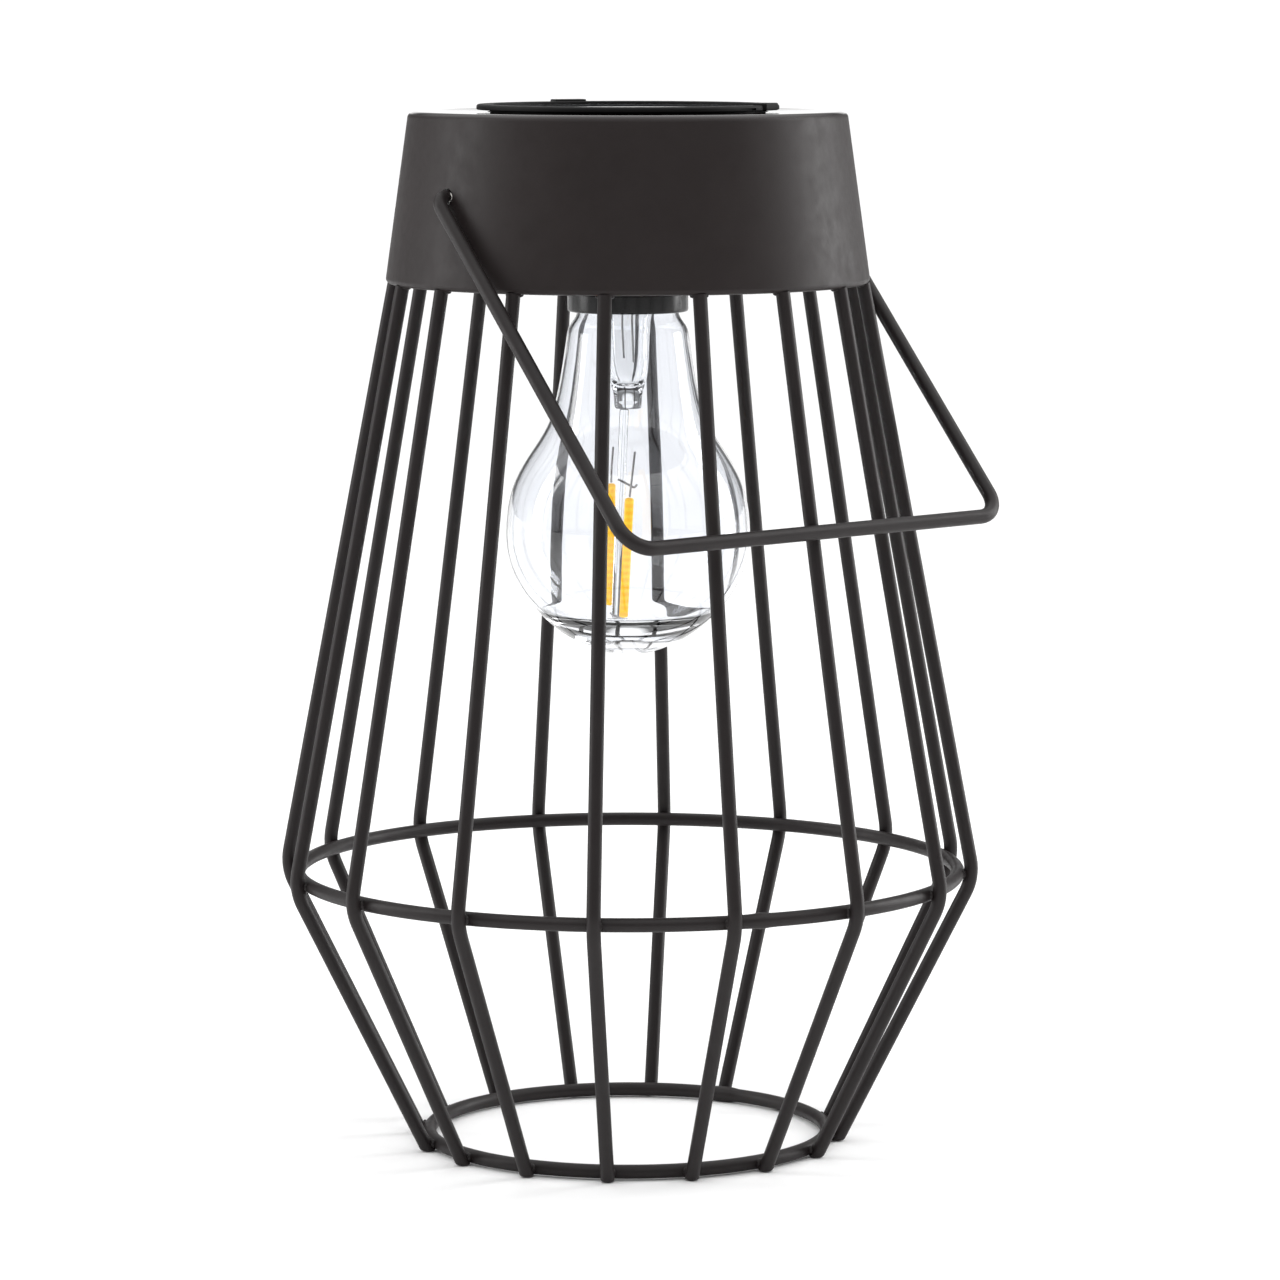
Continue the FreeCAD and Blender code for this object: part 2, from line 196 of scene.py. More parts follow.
# %% Lathe helper
def draw_line(name, points, rounds=()):
    """Draw a line of (radius, z) points; rounds are (corner number, radius) pairs."""
    deselect()
    first = Vector((points[0][0], 0, points[0][1]))
    bpy.ops.mesh.primitive_plane_add(size=1 * MM, location=first)
    piece = bpy.context.object
    piece.name = name
    piece.data.name = name
    bpy.ops.object.mode_set(mode="EDIT")
    bpy.ops.mesh.select_mode(type="VERT")
    bpy.ops.mesh.select_all(action="SELECT")
    bpy.ops.mesh.merge(type="CENTER")
    for before, after in zip(points[:-1], points[1:]):
        step = (after[0] - before[0], 0, after[1] - before[1])
        bpy.ops.mesh.extrude_region_move(TRANSFORM_OT_translate={"value": step})
    bpy.ops.object.mode_set(mode="OBJECT")
    bpy.ops.object.transform_apply(location=True)
    corners = [Vector((radius, 0, z)) for radius, z in points]
    for number, radius in rounds:
        corner = corners[number]
        back = corners[number - 1] - corner
        ahead = corners[(number + 1) % len(corners)] - corner
        turn = pi - back.angle(ahead)
        bpy.ops.object.mode_set(mode="EDIT")
        pick(piece, "verts", lambda p: (p - corner).length < 1e-6)
        bpy.ops.mesh.bevel(offset=radius * tan(turn / 2), segments=6, affect="VERTICES", offset_type="OFFSET")
        bpy.ops.object.mode_set(mode="OBJECT")
    return piece


def lathe(name, points, rounds=(), steps=128, closed=True):
    """Spin a line about the Z axis; a closed line makes a solid ring or disc."""
    line = list(points) + ([points[0]] if closed and points[0][0] > 0 else [])
    piece = draw_line(name, line, rounds)
    only(piece)
    bpy.ops.object.mode_set(mode="EDIT")
    bpy.ops.mesh.select_mode(type="VERT")
    bpy.ops.mesh.select_all(action="SELECT")
    bpy.ops.mesh.remove_doubles(threshold=1e-6)
    bpy.ops.mesh.select_all(action="SELECT")
    bpy.ops.mesh.spin(steps=steps, angle=2 * pi, center=(0, 0, 0), axis=(0, 0, 1))
    bpy.ops.mesh.select_all(action="SELECT")
    bpy.ops.mesh.remove_doubles(threshold=2e-6)
    bpy.ops.mesh.select_all(action="SELECT")
    bpy.ops.mesh.normals_make_consistent(inside=False)
    bpy.ops.object.mode_set(mode="OBJECT")
    return piece


# %% [markdown]
# ## The wire bender
# Every wire of the lantern is round rod pushed straight and bent round a former. The helper does just that:
# a circle is extruded along each straight leg and spun about the centre of each bend, and its cut ends are
# closed and their rims eased. A curve with a bevel would be quicker, but its rings bunch up in tight bends.

# %% Wire bending helper
def bent_wire(name, corners, bends, diameter, sides=20, ease=0.35 * MM, steps=8):
    """Bend a round wire through corner points, with one bend radius for each inner corner."""
    corners = [Vector(c) for c in corners]
    along = (corners[1] - corners[0]).normalized()
    deselect()
    turn = along.to_track_quat("Z", "Y").to_euler()
    bpy.ops.mesh.primitive_circle_add(vertices=sides, radius=diameter / 2, location=(0, 0, 0), rotation=turn)
    piece = bpy.context.object
    piece.name = name
    piece.data.name = name
    piece.location = corners[0]
    bpy.ops.object.transform_apply(location=True, rotation=True)
    bpy.ops.object.mode_set(mode="EDIT")
    bpy.ops.mesh.select_all(action="SELECT")
    place = corners[0]
    for corner, beyond, radius in zip(corners[1:-1], corners[2:], bends):
        ahead = (beyond - corner).normalized()
        angle = along.angle(ahead)
        reach = radius * tan(angle / 2)
        start = corner - along * reach
        bpy.ops.mesh.extrude_region_move(TRANSFORM_OT_translate={"value": start - place})
        axis = along.cross(ahead).normalized()
        centre = start + axis.cross(along) * radius
        bpy.ops.mesh.spin(steps=steps, angle=-angle, center=centre, axis=axis)
        place = corner + ahead * reach
        along = ahead
    bpy.ops.mesh.extrude_region_move(TRANSFORM_OT_translate={"value": corners[-1] - place})
    bpy.ops.mesh.select_all(action="SELECT")
    bpy.ops.mesh.remove_doubles(threshold=1e-6)
    bpy.ops.mesh.select_all(action="SELECT")
    bpy.ops.mesh.fill_holes(sides=0)
    bpy.ops.mesh.select_all(action="DESELECT")
    if ease > 0:
        bpy.ops.mesh.select_mode(type="FACE")
        bpy.ops.mesh.select_face_by_sides(number=4, type="GREATER")
        bpy.ops.mesh.bevel(offset=ease, segments=2)
    bpy.ops.mesh.select_all(action="SELECT")
    bpy.ops.mesh.normals_make_consistent(inside=False)
    bpy.ops.object.mode_set(mode="OBJECT")
    return finish_piece(piece)


# %% [markdown]
# ## Finishes
# Each finish is a small node tree that reads Object coordinates, so its grain stays the same size on every
# part and doesn't slide when a part moves. A value that is the same all over is set on the shader itself;
# only what varies is wired in.

# %% Node helpers
def new_finish(name, **sockets):
    """A material with its Principled shader's fixed values set."""
    material = bpy.data.materials.new(name)
    material.use_nodes = True
    shader = material.node_tree.nodes["Principled BSDF"]
    for key, value in sockets.items():
        shader.inputs[key.replace("_", " ")].default_value = value
    return material, material.node_tree, shader


def add_node(tree, kind, **settings):
    """Add a node and set its fields and input sockets."""
    node = tree.nodes.new(kind)
    for key, value in settings.items():
        if key in node.inputs:
            node.inputs[key].default_value = value
        else:
            setattr(node, key, value)
    return node


def object_noise(tree, scale, detail=3.0, roughness=0.55):
    """Noise that reads Object coordinates."""
    coords = add_node(tree, "ShaderNodeTexCoord")
    noise = add_node(tree, "ShaderNodeTexNoise", Scale=scale, Detail=detail, Roughness=roughness)
    tree.links.new(coords.outputs["Object"], noise.inputs["Vector"])
    return noise


def ramp(tree, source, low, high, at=(0.3, 0.7)):
    """A two-stop ramp driven by a socket; colours or plain numbers."""
    node = add_node(tree, "ShaderNodeValToRGB")
    for stop, value, place in zip(node.color_ramp.elements, (low, high), at):
        stop.position = place
        stop.color = (value, value, value, 1) if isinstance(value, float) else (*value, 1)
    tree.links.new(source, node.inputs["Fac"])
    return node.outputs["Color"]


def grain(tree, shader, scale, strength, distance, detail=2.0):
    """Fine surface grain as a bump."""
    noise = object_noise(tree, scale, detail)
    bump = add_node(tree, "ShaderNodeBump", Strength=strength, Distance=distance)
    tree.links.new(noise.outputs["Fac"], bump.inputs["Height"])
    tree.links.new(bump.outputs["Normal"], shader.inputs["Normal"])
    return bump


# %% [markdown]
# Powder coat is sprayed on as dust and melted, so it is satin, slightly pebbled like orange peel, and a
# little uneven in gloss. The colour is a warm near-black. Two noises do it: a broad one for the gloss and
# tone, a fine one for the pebbling. The cap's flat top lay level in the oven, so there the coat flowed out
# smooth and is much glossier.

# %% Powder coat
LEVEL_Z, LEVEL_ROUGH = 252.6 * MM, 0.05
PEBBLE, LEVEL_PEBBLE = 0.16, 0.01


def powder_coat(name, dark, light, rough=(0.46, 0.56), level_above=None):
    """Black satin powder coat, glossier above a height if one is given."""
    material, tree, shader = new_finish(name)
    shader.inputs["Specular IOR Level"].default_value = 0.3
    broad = object_noise(tree, 55.0, 4.0)
    tree.links.new(ramp(tree, broad.outputs["Fac"], dark, light), shader.inputs["Base Color"])
    gloss = object_noise(tree, 260.0, 3.0)
    rough_socket = ramp(tree, gloss.outputs["Fac"], *rough)
    if level_above is not None:
        coords = add_node(tree, "ShaderNodeTexCoord")
        split = add_node(tree, "ShaderNodeSeparateXYZ")
        tree.links.new(coords.outputs["Object"], split.inputs["Vector"])
        edge = {"From Min": level_above - 0.5 * MM, "From Max": level_above}
        share = add_node(tree, "ShaderNodeMapRange", **edge)
        tree.links.new(split.outputs["Z"], share.inputs["Value"])
        blend = add_node(tree, "ShaderNodeMix", B=LEVEL_ROUGH)
        tree.links.new(share.outputs["Result"], blend.inputs["Factor"])
        tree.links.new(rough_socket, blend.inputs["A"])
        rough_socket = blend.outputs["Result"]
    tree.links.new(rough_socket, shader.inputs["Roughness"])
    pebbles = grain(tree, shader, 2600.0, PEBBLE, 0.06 * MM)
    if level_above is not None:
        smoother = add_node(tree, "ShaderNodeMapRange", **{"To Min": PEBBLE, "To Max": LEVEL_PEBBLE})
        tree.links.new(share.outputs["Result"], smoother.inputs["Value"])
        tree.links.new(smoother.outputs["Result"], pebbles.inputs["Strength"])
    return material


CAP_COAT = powder_coat("cap_powder_coat", (0.0125, 0.0082, 0.0080), (0.0160, 0.0110, 0.0108),
                       level_above=LEVEL_Z)
WIRE_COAT = powder_coat("wire_powder_coat", (0.0115, 0.0084, 0.0086), (0.0155, 0.0118, 0.0118), (0.42, 0.52))
print("finishes:", CAP_COAT.name, WIRE_COAT.name)


# %% [markdown]
# Moulded black plastic is smoother than the coat. The housing has a fine spark texture; the collar round
# the bulb is polished. Both keep a little variation in gloss, as fingers and dust leave.

# %% Moulded plastics
def moulded_plastic(name, colour, rough, grain_scale, grain_depth, specular=0.5):
    """Moulded plastic with a little unevenness in its gloss and a fine grain."""
    material, tree, shader = new_finish(name, Base_Color=(*colour, 1))
    shader.inputs["Specular IOR Level"].default_value = specular
    gloss = object_noise(tree, 140.0, 4.0)
    tree.links.new(ramp(tree, gloss.outputs["Fac"], rough[0], rough[1]), shader.inputs["Roughness"])
    grain(tree, shader, grain_scale, 0.12, grain_depth)
    return material


SATIN_PLASTIC = moulded_plastic("satin_black_plastic", (0.014, 0.0135, 0.0135), (0.38, 0.5), 3200.0, 0.05 * MM)
GLOSS_PLASTIC = moulded_plastic("gloss_black_plastic", (0.008, 0.008, 0.0085), (0.2, 0.3), 700.0, 0.02 * MM,
                                specular=0.3)
BEZEL_PLASTIC = moulded_plastic("bezel_black_plastic", (0.010, 0.0098, 0.0098), (0.5, 0.62), 1800.0, 0.03 * MM,
                                specular=0.15)
CHIP_PLASTIC = moulded_plastic("chip_black", (0.02, 0.02, 0.021), (0.5, 0.65), 4000.0, 0.03 * MM)

# %% [markdown]
# The glass is clear and colourless. Blown glass is never quite even: its walls wander a little, which makes
# straight things behind it waver. A slow noise in the bump does that without changing the silhouette.


# %% Glass
def clear_glass(name, waver_scale, waver, tint=(0.985, 0.99, 0.995), ior=1.47):
    """Clear glass with slightly wandering walls."""
    material, tree, shader = new_finish(name, Base_Color=(*tint, 1), Roughness=0.0, IOR=ior)
    shader.inputs["Transmission Weight"].default_value = 1.0
    grain(tree, shader, waver_scale, waver, 0.25 * MM, 1.5)
    return material


BULB_GLASS = clear_glass("blown_glass", 75.0, 0.16, (0.945, 0.957, 0.982), 1.5)
STEM_GLASS = clear_glass("stem_glass", 160.0, 0.12, (0.96, 0.965, 0.97), 1.5)
RESIN = clear_glass("clear_resin", 40.0, 0.004, (0.93, 0.95, 0.97), 1.48)


# %% [markdown]
# The filament strips are rows of tiny diodes under silicone loaded with yellow phosphor. Unlit, they are an
# egg-yolk yellow with a faint beading along the strip. The silicone lets light in a little way, so some
# subsurface is right. A weak orange emission is added on top, which is a painted glow, since the strips are not
# lit.

# %% Filament phosphor
def phosphor(name):
    """Yellow phosphor silicone with faint beads along it, and a painted glow from a weak emission."""
    material, tree, shader = new_finish(name, Roughness=0.45)
    shader.inputs["Subsurface Weight"].default_value = 0.25
    shader.inputs["Subsurface Radius"].default_value = (0.0012, 0.0007, 0.0002)
    shader.inputs["Subsurface Scale"].default_value = 1.0
    # Painted glow: a weak orange emission makes the unlit strips shine.
    shader.inputs["Emission Color"].default_value = (1.0, 0.56, 0.02, 1)
    shader.inputs["Emission Strength"].default_value = 0.6
    coords = add_node(tree, "ShaderNodeTexCoord")
    beads = add_node(tree, "ShaderNodeTexWave", wave_type="BANDS", bands_direction="Z", Scale=190.0,
                     Distortion=1.5)
    tree.links.new(coords.outputs["Object"], beads.inputs["Vector"])
    yellow = ramp(tree, beads.outputs["Fac"], (0.95, 0.52, 0.015), (1.0, 0.66, 0.04), (0.1, 0.9))
    tree.links.new(yellow, shader.inputs["Base Color"])
    bump = add_node(tree, "ShaderNodeBump", Strength=0.3, Distance=0.08 * MM)
    tree.links.new(beads.outputs["Fac"], bump.inputs["Height"])
    tree.links.new(bump.outputs["Normal"], shader.inputs["Normal"])
    return material


PHOSPHOR_PAINTED_GLOW = phosphor("filament_phosphor")


# %% [markdown]
# Bare metal shows only in small places: screw heads, contacts, lead wires and the worn rims of the bail's
# holes. It is drawn or plated, so its gloss runs in fine scratches.

# %% Bare metals
def bare_metal(name, colour, rough):
    """Plated or drawn metal with fine scratches."""
    material, tree, shader = new_finish(name, Metallic=1.0)
    scratch = object_noise(tree, 900.0, 6.0, 0.7)
    tree.links.new(ramp(tree, scratch.outputs["Fac"], rough[0], rough[1]), shader.inputs["Roughness"])
    tone = object_noise(tree, 120.0, 3.0)
    darker = tuple(c * 0.8 for c in colour)
    tree.links.new(ramp(tree, tone.outputs["Fac"], darker, colour), shader.inputs["Base Color"])
    grain(tree, shader, 2400.0, 0.1, 0.02 * MM, 4.0)
    return material


NICKEL = bare_metal("nickel_plate", (0.62, 0.60, 0.57), (0.22, 0.42))
LEAD_METAL = bare_metal("lead_wire_metal", (0.42, 0.41, 0.40), (0.28, 0.5))


# %% [markdown]
# The solar cells are blue-black silicon with faint fingers across each strip and silver busbars along it.
# The lines are in the material: they are printed, with no thickness to see.

# %% Solar cell and boards
def cell_silicon(name):
    """Dark silicon with printed silver fingers and busbars."""
    material, tree, shader = new_finish(name, Roughness=0.22)
    coords = add_node(tree, "ShaderNodeTexCoord")
    split = add_node(tree, "ShaderNodeSeparateXYZ")
    tree.links.new(coords.outputs["Object"], split.inputs["Vector"])
    fingers = ("Y", 2.0 * MM, 0.06, 0.3)
    busbars = ("X", 7.25 * MM, 0.075, 1.0)
    lines = []
    for axis, pitch, width, strength in (fingers, busbars):
        scaled = add_node(tree, "ShaderNodeMath", operation="DIVIDE")
        scaled.inputs[1].default_value = pitch
        wrapped = add_node(tree, "ShaderNodeMath", operation="WRAP")
        wrapped.inputs[1].default_value = 1.0
        wrapped.inputs[2].default_value = 0.0
        line = add_node(tree, "ShaderNodeMath", operation="LESS_THAN")
        line.inputs[1].default_value = width
        shown = add_node(tree, "ShaderNodeMath", operation="MULTIPLY")
        shown.inputs[1].default_value = strength
        tree.links.new(split.outputs[axis], scaled.inputs[0])
        tree.links.new(scaled.outputs[0], wrapped.inputs[0])
        tree.links.new(wrapped.outputs[0], line.inputs[0])
        tree.links.new(line.outputs[0], shown.inputs[0])
        lines.append(shown)
    either = add_node(tree, "ShaderNodeMath", operation="MAXIMUM")
    tree.links.new(lines[0].outputs[0], either.inputs[0])
    tree.links.new(lines[1].outputs[0], either.inputs[1])
    silicon = object_noise(tree, 90.0, 2.0)
    dark = ramp(tree, silicon.outputs["Fac"], (0.004, 0.006, 0.018), (0.008, 0.012, 0.032))
    mix = add_node(tree, "ShaderNodeMix", data_type="RGBA")
    tree.links.new(either.outputs[0], mix.inputs[0])
    tree.links.new(dark, mix.inputs[6])
    mix.inputs[7].default_value = (0.32, 0.33, 0.35, 1)
    tree.links.new(mix.outputs[2], shader.inputs["Base Color"])
    grain(tree, shader, 1500.0, 0.05, 0.01 * MM)
    return material


def solder_board(name, low, high):
    """Circuit board lacquer with the weave of the glass cloth just showing."""
    material, tree, shader = new_finish(name)
    coords = add_node(tree, "ShaderNodeTexCoord")
    weave = add_node(tree, "ShaderNodeTexChecker", Scale=1600.0)
    tree.links.new(coords.outputs["Object"], weave.inputs["Vector"])
    tone = object_noise(tree, 180.0, 3.0)
    tree.links.new(ramp(tree, tone.outputs["Fac"], low, high), shader.inputs["Base Color"])
    tree.links.new(ramp(tree, tone.outputs["Fac"], 0.3, 0.42), shader.inputs["Roughness"])
    bump = add_node(tree, "ShaderNodeBump", Strength=0.1, Distance=0.02 * MM)
    tree.links.new(weave.outputs["Fac"], bump.inputs["Height"])
    tree.links.new(bump.outputs["Normal"], shader.inputs["Normal"])
    return material


CELL = cell_silicon("cell_silicon")
BOARD_BLACK = solder_board("cell_board_lacquer", (0.006, 0.006, 0.008), (0.010, 0.010, 0.013))
BOARD_GREEN = solder_board("circuit_lacquer", (0.006, 0.05, 0.016), (0.012, 0.08, 0.026))


def shrink_sleeve(name):
    """Battery sleeve: satin film with faint shrink wrinkles."""
    material, tree, shader = new_finish(name)
    wrinkles = object_noise(tree, 300.0, 4.0)
    green = ramp(tree, wrinkles.outputs["Fac"], (0.02, 0.09, 0.035), (0.03, 0.13, 0.05))
    tree.links.new(green, shader.inputs["Base Color"])
    tree.links.new(ramp(tree, wrinkles.outputs["Fac"], 0.25, 0.4), shader.inputs["Roughness"])
    grain(tree, shader, 500.0, 0.15, 0.08 * MM)
    return material


SLEEVE = shrink_sleeve("battery_sleeve")

# %% [markdown]
# ## The cap
# The cap is one drawn sheet: a flat top with a round opening, a sloping side, and a lip turned in under the
# edge that the wires are welded to. Its outer line goes on the lathe with the corners already rounded, and
# Solidify gives it the sheet's thickness inwards. The top is pressed down by less than a millimetre inside
# its rim, in two shallow steps.

# %% Cap shell
SHEET = 1.0 * MM
STEP_DOWN = 0.1 * MM
INNER_STEP_R, OUTER_STEP_R, STEP_RUN = 39.0 * MM, 45.0 * MM, 0.4 * MM
CAP_MIDDLE_Z = 0.232
SIDE_ROWS = 28
cap_line = [(CAP_HOLE_R, CAP_TOP_Z - 2 * STEP_DOWN), (INNER_STEP_R - STEP_RUN, CAP_TOP_Z - 2 * STEP_DOWN),
            (INNER_STEP_R, CAP_TOP_Z - STEP_DOWN), (OUTER_STEP_R - STEP_RUN, CAP_TOP_Z - STEP_DOWN),
            (OUTER_STEP_R, CAP_TOP_Z), (CAP_TOP_R, CAP_TOP_Z)]
top_corner = len(cap_line) - 1
for row in range(1, SIDE_ROWS):
    t = row / SIDE_ROWS
    cap_line.append((CAP_TOP_R + (CAP_BASE_R - CAP_TOP_R) * t, CAP_TOP_Z + (CAP_BASE_Z - CAP_TOP_Z) * t))
cap_line += [(CAP_BASE_R, CAP_BASE_Z), (CAP_LIP_R, CAP_BASE_Z)]
cap_rounds = ((top_corner, 2.2 * MM), (top_corner + SIDE_ROWS, 1.5 * MM))
cap = lathe("cap", cap_line, cap_rounds, steps=240, closed=False)


def faces_outwards(piece, middle_z):
    """True if the faces of a round skin point away from its middle."""
    score = 0.0
    for face in piece.data.polygons:
        away = face.center - Vector((0, 0, middle_z))
        score += face.normal.dot(away) * face.area
    return score > 0


if not faces_outwards(cap, CAP_MIDDLE_Z):
    edit(cap)
    bpy.ops.mesh.select_all(action="SELECT")
    bpy.ops.mesh.flip_normals()
    bpy.ops.object.mode_set(mode="OBJECT")
print("cap skin:", len(cap.data.polygons), "faces, outwards:", faces_outwards(cap, CAP_MIDDLE_Z))

# %% [markdown]
# A cap that has been handled has a small knock near its lower edge. Moving one point with proportional
# editing pulls its neighbours along, which is just how a thin sheet dents.

# %% Knock in the cap's side
KNOCK_AZ, KNOCK_Z, KNOCK_DEPTH = 66.0, 216.6 * MM, 0.5 * MM
edit(cap)
knock = at_azimuth(58.0 * MM, KNOCK_AZ, KNOCK_Z)
picked = pick(cap, "verts", lambda p: (p - knock).length < 1.3 * MM)
inward = at_azimuth(-KNOCK_DEPTH, KNOCK_AZ)
bpy.ops.transform.translate(value=inward, use_proportional_edit=True, proportional_edit_falloff="SMOOTH",
                            proportional_size=3.2 * MM)
bpy.ops.object.mode_set(mode="OBJECT")
print("points under the knock:", picked)
apply_modifier(cap, "SOLIDIFY", thickness=SHEET, offset=-1.0, use_even_offset=True)

# %% [markdown]
# The two bail holes are drilled with a Boolean: a short round bar through each side, taken away from the
# sheet. The bar is made once, through both sides at once, because both holes lie on one line.

# %% Bail holes
SIDE = at_azimuth(1.0, BAIL_AZ)
deselect()
turn = SIDE.to_track_quat("Z", "Y").to_euler()
bpy.ops.mesh.primitive_cylinder_add(vertices=40, radius=BAIL_HOLE_R, depth=140 * MM, location=(0, 0, BAIL_Z),
                                    rotation=turn)
drill = bpy.context.object
drill.name = "drill"
apply_modifier(cap, "BOOLEAN", operation="DIFFERENCE", object=drill, solver="EXACT")
bpy.data.objects.remove(drill, do_unlink=True)
finish_piece(cap, 34.0)
cap.data.materials.clear()
cap.data.materials.append(CAP_COAT)
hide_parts("cap_shell")
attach(cap, "frame")
print("cap done:", len(cap.data.polygons), "faces")

# %% [markdown]
# The bail has rubbed the paint off the rims of its holes. A very thin ring of bare metal, squashed against
# the sheet, shows as a bright crescent beside the wire.

# %% Worn rims of the bail holes
flare, cap_height = CAP_BASE_R - CAP_TOP_R, CAP_TOP_Z - CAP_BASE_Z
slope = asin(flare / sqrt(flare ** 2 + cap_height ** 2))
hole_r = CAP_TOP_R + flare * (CAP_TOP_Z - BAIL_Z) / cap_height
for number, way in ((1, 1.0), (2, -1.0)):
    deselect()
    out = (SIDE * way * cos(slope) + Vector((0, 0, sin(slope)))).normalized()
    spot = SIDE * way * (hole_r + 0.01 * MM) + Vector((0, 0, BAIL_Z))
    bpy.ops.mesh.primitive_torus_add(
        major_radius=BAIL_HOLE_R + 0.05 * MM, minor_radius=0.16 * MM, major_segments=40, minor_segments=10,
        location=spot, rotation=out.to_track_quat("Z", "Y").to_euler())
    rim = bpy.context.object
    rim.name = "worn_rim_%d" % number
    edit(rim)
    pick(rim, "verts", lambda p: p.z > -0.001)
    bpy.ops.transform.resize(value=(1.0, 1.0, 0.6), center_override=spot)
    bpy.ops.object.mode_set(mode="OBJECT")
    finish_piece(rim)
    rim.data.materials.append(NICKEL)
    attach(rim, "frame")

# %% [markdown]
# ## The cage
# Sixteen wires, all bent alike: a leg leaning out to the belly, and a long leg leaning in to the cap. The
# lower end is left long, sawn off level with the floor, and its rim eased. One wire is bent at the front
# and copied round, each copy with its own mesh. A few were welded on a degree or so off their place.

# %% Cage wires
def saw_level(piece, height, ease):
    """Cut a wire off at a height, keep what is above, and ease the rim of the cut."""
    edit(piece)
    bpy.ops.mesh.select_all(action="SELECT")
    bpy.ops.mesh.bisect(plane_co=(0, 0, height), plane_no=(0, 0, 1), use_fill=True, clear_inner=True)
    pick(piece, "faces", lambda p: p.z < height + 0.001 * MM)
    bpy.ops.mesh.bevel(offset=ease, segments=3)
    bpy.ops.object.mode_set(mode="OBJECT")
    return finish_piece(piece)


lower_slope = (BELLY_R - FOOT_R) / (BELLY_Z - BASE_HOOP_Z)
spare = 6.0 * MM
spare_end = (0, -(FOOT_R - lower_slope * (BASE_HOOP_Z + spare)), -spare)
belly = (0, -BELLY_R, BELLY_Z)
wire_top = (0, -WIRE_TOP_R, CAP_BASE_Z + 0.1 * MM)
front_wire = bent_wire("front_wire", [spare_end, belly, wire_top], (13 * MM,), WIRE_D, sides=24, ease=0.0)
saw_level(front_wire, 0.02 * MM, 0.55 * MM)
wires = []
for node_name, azimuth in zip(WIRE_NAMES, WIRE_AZ):
    wire = copy_turned(front_wire, node_name.replace("cage_", "bent_"), azimuth)
    wire.data.materials.clear()
    wire.data.materials.append(WIRE_COAT)
    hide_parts(node_name)
    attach(wire, "frame")
    wires.append(wire)
bpy.data.objects.remove(front_wire, do_unlink=True)
print("wires:", len(wires), "faces each:", len(wires[0].data.polygons))

# %% [markdown]
# The hoops are rings of the same wire, closed by a butt weld that leaves a slight swelling. A torus is the
# start; the swelling is made by fattening the points near the joint with a soft falloff.

# %% Hoops
def wire_hoop(name, radius, z, joint_azimuth, node_name):
    """A welded ring of wire with its joint swelling."""
    deselect()
    bpy.ops.mesh.primitive_torus_add(major_radius=radius, minor_radius=WIRE_D / 2, major_segments=240,
                                     minor_segments=20, location=(0, 0, z))
    ring = bpy.context.object
    ring.name = name
    ring.data.name = name
    bpy.ops.object.transform_apply(location=True)
    edit(ring)
    joint = at_azimuth(radius, joint_azimuth, z)
    found = pick(ring, "verts", lambda p: (p - joint).length < 2.6 * MM)
    bpy.ops.transform.shrink_fatten(value=0.28 * MM, use_proportional_edit=True,
                                    proportional_edit_falloff="SMOOTH", proportional_size=3.0 * MM)
    bpy.ops.object.mode_set(mode="OBJECT")
    finish_piece(ring)
    ring.data.materials.append(WIRE_COAT)
    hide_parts(node_name)
    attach(ring, "frame")
    print(name, "joint points:", found)


wire_hoop("belly_hoop", MID_HOOP_R, MID_HOOP_Z, 22.5, "mid_hoop")
wire_hoop("foot_hoop", BASE_HOOP_R, BASE_HOOP_Z, 150.0, "base_hoop")

# %% [markdown]
# ## Weld beads
# Where two wires cross they are resistance welded: the metal is squeezed out a little on both sides and the
# powder coat rounds it over. Each crossing gets a small bead, a sphere pulled out of round and roughened,
# made once and copied to every crossing.

# %% Weld beads
def weld_beads(name, radius, z, spread, size):
    """Beads at every crossing of a hoop, joined into one piece."""
    deselect()
    bpy.ops.mesh.primitive_ico_sphere_add(subdivisions=3, radius=1.0, location=(0, 0, 0))
    bead = bpy.context.object
    bead.name = "bead"
    bpy.ops.object.mode_set(mode="EDIT")
    bpy.ops.mesh.select_all(action="SELECT")
    bpy.ops.transform.resize(value=size)
    bpy.ops.transform.vertex_random(offset=0.06 * MM, seed=3)
    bpy.ops.object.mode_set(mode="OBJECT")
    beads = []
    for azimuth in WIRE_AZ:
        for side in (-1, 1):
            only(bead)
            bpy.ops.object.duplicate(linked=False)
            copy = bpy.context.object
            spot = at_azimuth(radius, azimuth, z)
            across = Vector((cos(radians(azimuth)), sin(radians(azimuth)), 0))
            copy.location = spot + across * side * spread
            copy.rotation_euler = (0, 0, radians(azimuth))
            beads.append(copy)
    bpy.data.objects.remove(bead, do_unlink=True)
    piece = join(beads, name)
    finish_piece(piece, 60.0)
    piece.data.materials.append(WIRE_COAT)
    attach(piece, "frame")


HOOP_SPREAD, CAP_SPREAD = 0.95 * MM, 1.15 * MM
BELLY_BEAD = (0.95 * MM, 0.75 * MM, 1.15 * MM)
FOOT_BEAD = (0.95 * MM, 0.75 * MM, 1.1 * MM)
CAP_BEAD = (1.1 * MM, 1.2 * MM, 0.6 * MM)
weld_beads("belly_welds", 82.65 * MM, MID_HOOP_Z, HOOP_SPREAD, BELLY_BEAD)
weld_beads("foot_welds", 50.9 * MM, BASE_HOOP_Z + 0.05 * MM, HOOP_SPREAD, FOOT_BEAD)
weld_beads("cap_welds", 56.6 * MM, CAP_BASE_Z - 0.15 * MM, CAP_SPREAD, CAP_BEAD)

# %% [markdown]
# ## The bail
# The bail is one longer wire: a turned-in stub, an ear bend, an arm, the hand bar, and the same again. Hand
# bending left it a little skewed: the bar sits off centre, and one arm is about a millimetre longer. It is
# bent in place, leaning on the front of the cage, and rides on the bail body so that it swings about its
# stubs.

